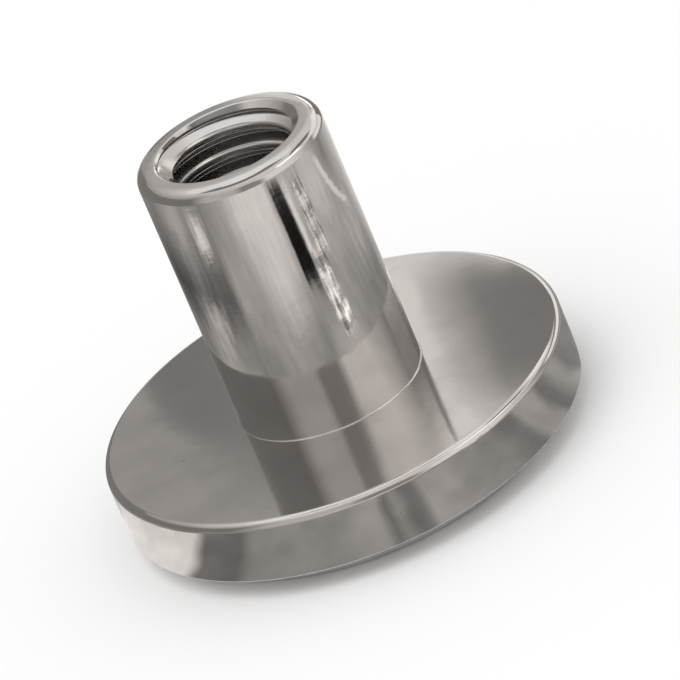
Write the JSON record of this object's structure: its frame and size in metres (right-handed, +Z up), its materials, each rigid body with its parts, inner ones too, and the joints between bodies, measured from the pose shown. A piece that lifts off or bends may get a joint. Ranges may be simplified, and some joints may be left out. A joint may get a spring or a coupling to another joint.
{
  "type": "binding barrel nut",
  "caption": "Flat round-headed barrel nut with a bevelled rim and a blind threaded bore, the female half of a binding screw that clamps punched sheets, straps or leather.",
  "frame": {"origin": "centre of the head's flat outer face, which the part stands on", "axes": "+Z runs up the barrel to its open end; the piece is round about Z, so X and Y are free"},
  "size_m": [0.01, 0.01, 0.0078],
  "materials": {
    "nickel_plate": "bright nickel plating over turned steel"
  },
  "bodies": {
    "root": {"barrel_nut": "nickel_plate"}
  },
  "joints": []
}
